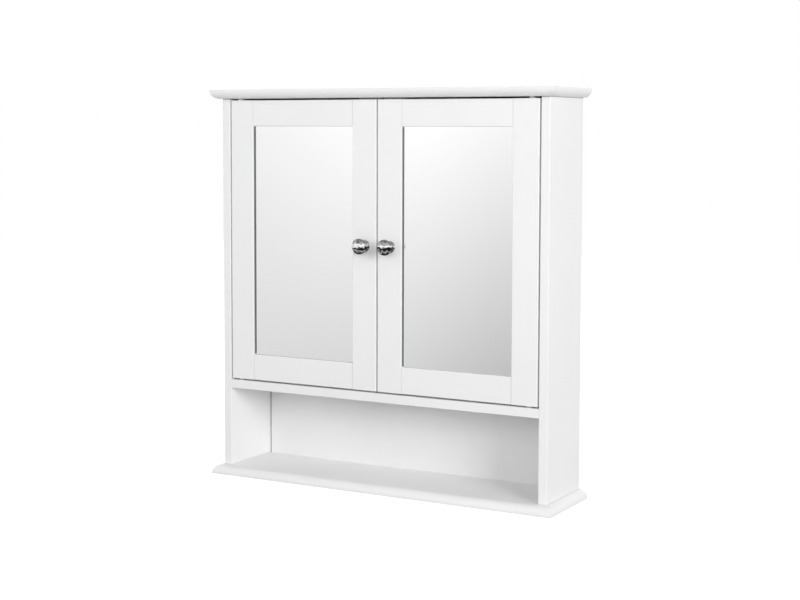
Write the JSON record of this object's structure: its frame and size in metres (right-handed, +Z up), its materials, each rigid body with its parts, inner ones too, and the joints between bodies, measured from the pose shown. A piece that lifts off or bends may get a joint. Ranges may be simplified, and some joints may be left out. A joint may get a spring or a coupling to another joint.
{
  "type": "mirror cabinet",
  "caption": "Wall cabinet with moulded top and bottom boards, two inset framed mirror doors with knobs, an inner shelf and an open niche below.",
  "frame": {"origin": "centre of the bottom board's underside", "axes": "+X to the viewer's right, +Y from the doors to the wall, +Z up"},
  "size_m": [0.56, 0.1365, 0.58],
  "materials": {
    "white_board": "white satin paint on fibreboard",
    "back_board": "white coated hardboard",
    "mirror_glass": "silvered float glass",
    "polished_chrome": "polished chrome plate",
    "zinc_steel": "zinc plated steel",
    "white_plastic": "moulded white nylon",
    "dowel_wood": "plain beech dowel"
  },
  "bodies": {
    "case": {"bottom_board": "white_board", "top_board": "white_board", "left_side": "white_board", "right_side": "white_board", "fixed_shelf": "white_board", "back_panel": "back_board", "hanging_rail": "white_board", "shelf_pins": "zinc_steel", "case_screws": "zinc_steel", "screw_caps": "white_plastic", "dowels": "dowel_wood", "cam_bolts": "zinc_steel", "cam_locks": "zinc_steel", "left_catch": "white_plastic", "right_catch": "white_plastic", "catch_magnets": "zinc_steel", "catch_screws": "zinc_steel", "left_upper_pin": "zinc_steel", "left_lower_pin": "zinc_steel", "right_upper_pin": "zinc_steel", "right_lower_pin": "zinc_steel"},
    "shelf": {"adjustable_shelf": "white_board"},
    "left_door": {"left_inner_stile": "white_board", "left_outer_stile": "white_board", "left_bottom_rail": "white_board", "left_top_rail": "white_board", "left_mirror": "mirror_glass", "left_mirror_backing": "back_board", "left_knob": "polished_chrome", "left_knob_screw": "zinc_steel", "left_strike_plate": "zinc_steel", "left_strike_screws": "zinc_steel", "left_upper_bush": "white_plastic", "left_lower_bush": "white_plastic"},
    "right_door": {"right_inner_stile": "white_board", "right_outer_stile": "white_board", "right_bottom_rail": "white_board", "right_top_rail": "white_board", "right_mirror": "mirror_glass", "right_mirror_backing": "back_board", "right_knob": "polished_chrome", "right_knob_screw": "zinc_steel", "right_strike_plate": "zinc_steel", "right_strike_screws": "zinc_steel", "right_upper_bush": "white_plastic", "right_lower_bush": "white_plastic"}
  },
  "joints": [
    {"name": "left_door_swing", "type": "hinge", "parent": "case", "child": "left_door", "pos_m": [-0.238, -0.0415, 0.144], "axis": [0, 0, -1], "range_deg": [0, 115]},
    {"name": "right_door_swing", "type": "hinge", "parent": "case", "child": "right_door", "pos_m": [0.238, -0.0415, 0.144], "axis": [0, 0, 1], "range_deg": [0, 115]},
    {"name": "shelf_lift", "type": "slide", "parent": "case", "child": "shelf", "axis": [0, 0, 1], "range_m": [0, 0.064]}
  ]
}
